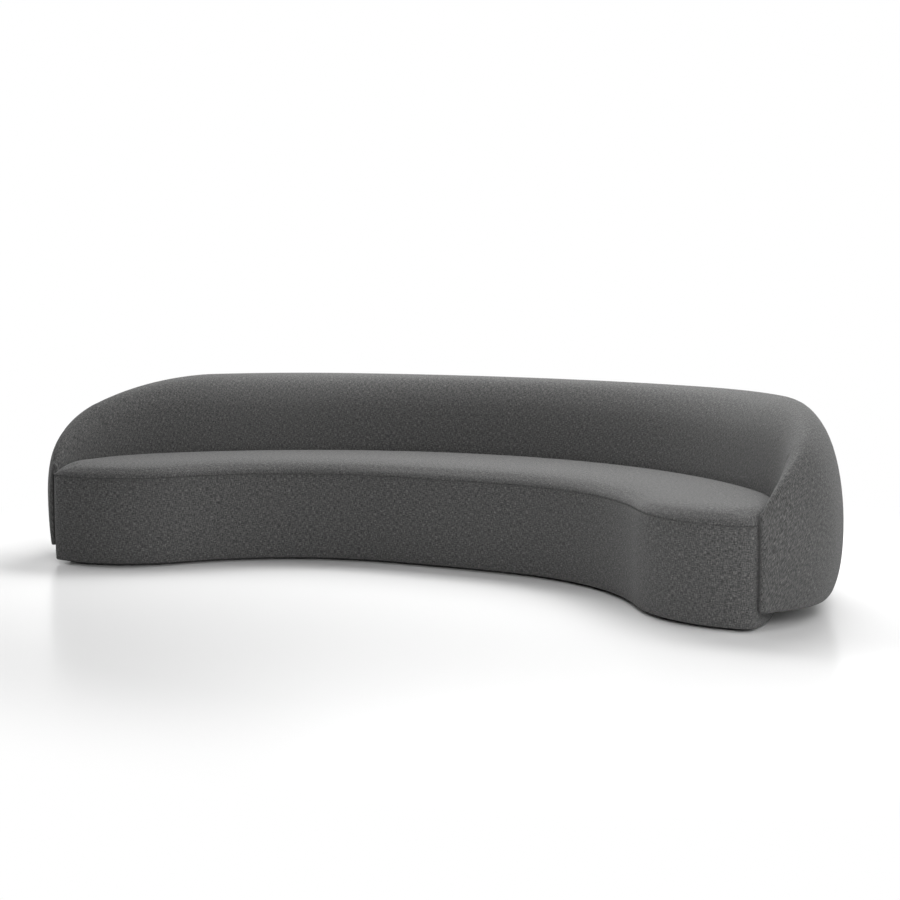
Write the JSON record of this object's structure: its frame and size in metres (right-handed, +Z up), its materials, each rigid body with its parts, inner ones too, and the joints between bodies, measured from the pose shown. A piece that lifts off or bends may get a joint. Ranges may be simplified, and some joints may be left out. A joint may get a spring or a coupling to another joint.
{
  "type": "curved sofa",
  "caption": "Curved upholstered sofa with a wrap-around back that falls into low arms, a tight seat and a recessed plinth.",
  "frame": {"origin": "on the floor under the middle of the sofa's bounding box", "axes": "+X to the right end as seen from the front, +Y towards the back, +Z up"},
  "size_m": [3.3938, 1.5208, 0.743],
  "materials": {
    "charcoal_cover_cloth": "woven, matte, heather charcoal",
    "upholstery_foam": "open-cell polyurethane foam",
    "insulator_felt": "needled felt",
    "black_dust_cloth": "non-woven, matte",
    "black_plinth_wood": "black stain, satin",
    "glide_plastic": "moulded",
    "plywood": "sanded, raw",
    "solid_wood_rail": "planed, raw",
    "spring_steel": "oiled wire",
    "plated_steel": "zinc plated"
  },
  "bodies": {
    "root": {"back_cover": "charcoal_cover_cloth", "back_foam": "upholstery_foam", "back_former_1": "plywood", "back_former_2": "plywood", "back_former_3": "plywood", "back_former_4": "plywood", "back_former_5": "plywood", "back_former_6": "plywood", "back_former_7": "plywood", "back_panel": "plywood", "band_cover": "charcoal_cover_cloth", "band_foam": "upholstery_foam", "base_panel": "plywood", "cross_board_1": "plywood", "cross_board_2": "plywood", "cross_board_3": "plywood", "cross_board_4": "plywood", "cross_board_5": "plywood", "cross_board_6": "plywood", "cross_board_7": "plywood", "deck_ring": "plywood", "dust_cloth": "black_dust_cloth", "floor_glides": "glide_plastic", "front_board": "plywood", "front_plinth_strip": "black_plinth_wood", "insulator_felt": "insulator_felt", "joining_bolts": "plated_steel", "joining_nuts": "plated_steel", "joining_washers": "plated_steel", "left_board_corner": "plywood", "left_plinth_strip_corner": "black_plinth_wood", "outer_rail": "solid_wood_rail", "rear_board": "plywood", "rear_plinth_strip": "black_plinth_wood", "right_board_corner": "plywood", "right_plinth_strip_corner": "black_plinth_wood", "seat_foam": "upholstery_foam", "seat_side_rail": "solid_wood_rail", "seat_spring_1": "spring_steel", "seat_spring_10": "spring_steel", "seat_spring_11": "spring_steel", "seat_spring_12": "spring_steel", "seat_spring_13": "spring_steel", "seat_spring_14": "spring_steel", "seat_spring_15": "spring_steel", "seat_spring_2": "spring_steel", "seat_spring_3": "spring_steel", "seat_spring_4": "spring_steel", "seat_spring_5": "spring_steel", "seat_spring_6": "spring_steel", "seat_spring_7": "spring_steel", "seat_spring_8": "spring_steel", "seat_spring_9": "spring_steel", "seat_top_cover": "charcoal_cover_cloth", "sill": "plywood", "spring_clips": "plated_steel", "top_rail": "solid_wood_rail"}
  },
  "joints": []
}
